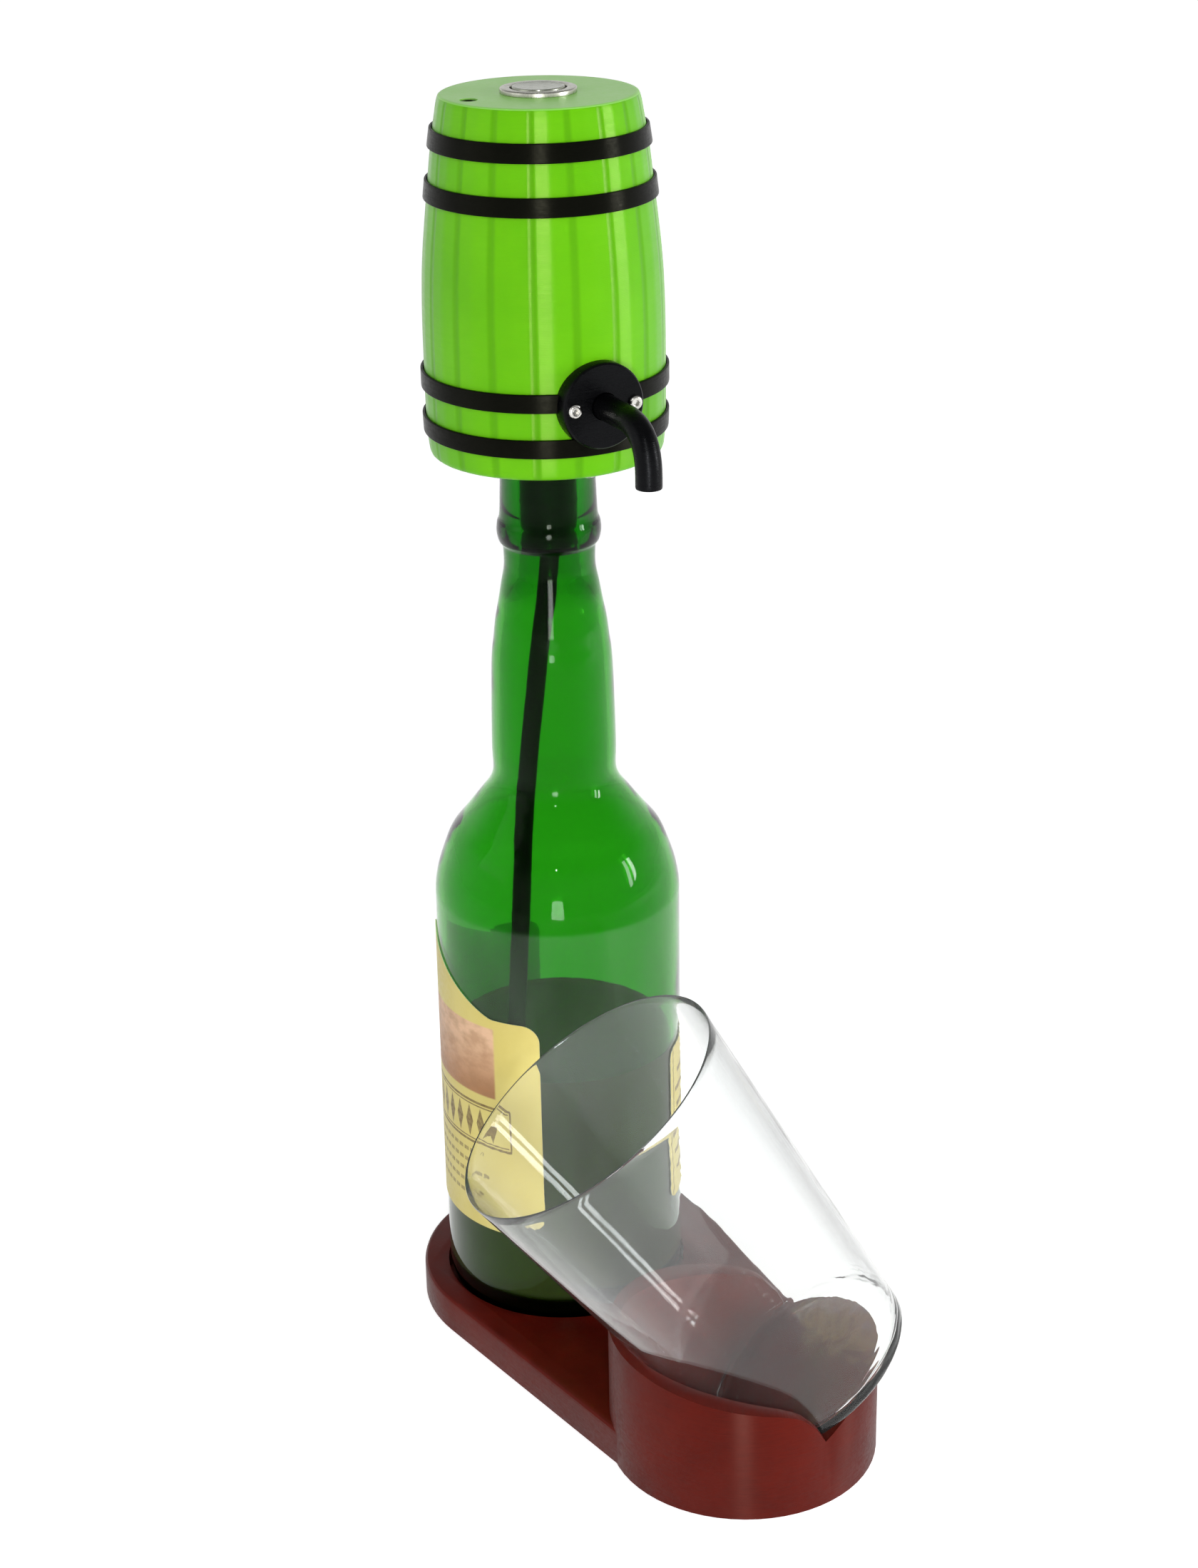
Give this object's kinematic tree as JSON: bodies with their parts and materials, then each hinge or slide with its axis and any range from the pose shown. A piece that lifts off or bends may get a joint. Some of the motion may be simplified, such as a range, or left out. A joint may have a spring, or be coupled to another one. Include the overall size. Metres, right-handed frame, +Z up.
{
  "type": "electric cider pourer",
  "caption": "Barrel-shaped battery pump head with a bent spout on a cider bottle, in a stand whose slanted cradle holds a leaning tumbler.",
  "frame": {"origin": "on the stand's underside, on the bottle's axis", "axes": "+Z up along the bottle's axis; +X along the stand, from the bottle to the tumbler's cradle; the tumbler leans to the -Y side"},
  "size_m": [0.2026, 0.1379, 0.4099],
  "materials": {
    "red_plastic": "satin",
    "green_glass": "clear green",
    "label_paper": "matt",
    "clear_glass": "clear",
    "green_plastic": "satin",
    "black_rubber": "matt",
    "black_plastic": "satin",
    "satin_steel": "satin",
    "bright_steel": "bright",
    "cell_wrap": "gloss",
    "board": "matt",
    "pump_plastic": "matt",
    "hose": "translucent",
    "red_wire": "matt"
  },
  "bodies": {
    "stand": {"stand": "red_plastic"},
    "bottle": {"bottle": "green_glass", "label_front": "label_paper", "label_back": "label_paper"},
    "sleeve": {"stopper_sleeve": "black_rubber"},
    "head": {"barrel_shell": "green_plastic", "barrel_cover": "green_plastic", "hoop_top": "black_plastic", "hoop_upper": "black_plastic", "hoop_lower": "black_plastic", "hoop_bottom": "black_plastic", "spout_flange": "black_plastic", "spout_pipe": "black_plastic", "button_bezel": "satin_steel", "button_spring": "bright_steel", "button_nut": "satin_steel", "switch_block": "black_plastic", "charge_socket": "black_plastic", "charge_board": "board", "battery_cell": "cell_wrap", "battery_cup": "black_plastic", "pump_stand": "black_plastic", "pump_cover": "pump_plastic", "pump_housing": "pump_plastic", "shaft_seal": "black_rubber", "motor_can": "satin_steel", "motor_cap": "pump_plastic", "inlet_hose": "hose", "outlet_hose": "hose", "stopper_core": "black_plastic", "wire_battery_plus": "red_wire", "wire_battery_minus": "black_plastic", "wire_motor_board": "black_plastic", "wire_motor_switch": "red_wire", "wire_switch_board": "red_wire", "cover_screw_1": "bright_steel", "cover_screw_2": "bright_steel", "cover_screw_3": "bright_steel", "spout_screw_1": "bright_steel", "spout_screw_2": "bright_steel", "dip_tube": "black_plastic"},
    "plunger": {"button_plunger": "bright_steel"},
    "rotor": {"pump_rotor": "black_rubber", "motor_shaft": "bright_steel"},
    "tumbler": {"tumbler": "clear_glass"}
  },
  "joints": [
    {"name": "bottle_lift", "type": "slide", "parent": "stand", "child": "bottle", "axis": [0, 0, 1], "range_m": [0, 0.06]},
    {"name": "stopper_pull", "type": "slide", "parent": "bottle", "child": "sleeve", "axis": [0, 0, 1], "range_m": [0, 0.03]},
    {"name": "head_turn", "type": "hinge", "parent": "sleeve", "child": "head", "pos_m": [0, 0, 0.3], "axis": [0, 0, 1], "continuous": true},
    {"name": "button_press", "type": "slide", "parent": "head", "child": "plunger", "axis": [0, 0, -1], "range_m": [0, 0.0015], "stiffness_N_per_m": 1500, "springref_m": -0.0005, "deforming": ["button_spring"]},
    {"name": "rotor_spin", "type": "hinge", "parent": "head", "child": "rotor", "pos_m": [0.00617, -0.00059, 0.32], "axis": [0, 0, 1], "continuous": true},
    {"name": "tumbler_lift", "type": "slide", "parent": "stand", "child": "tumbler", "axis": [-0.2514, -0.5155, 0.8192], "range_m": [0, 0.06]}
  ]
}
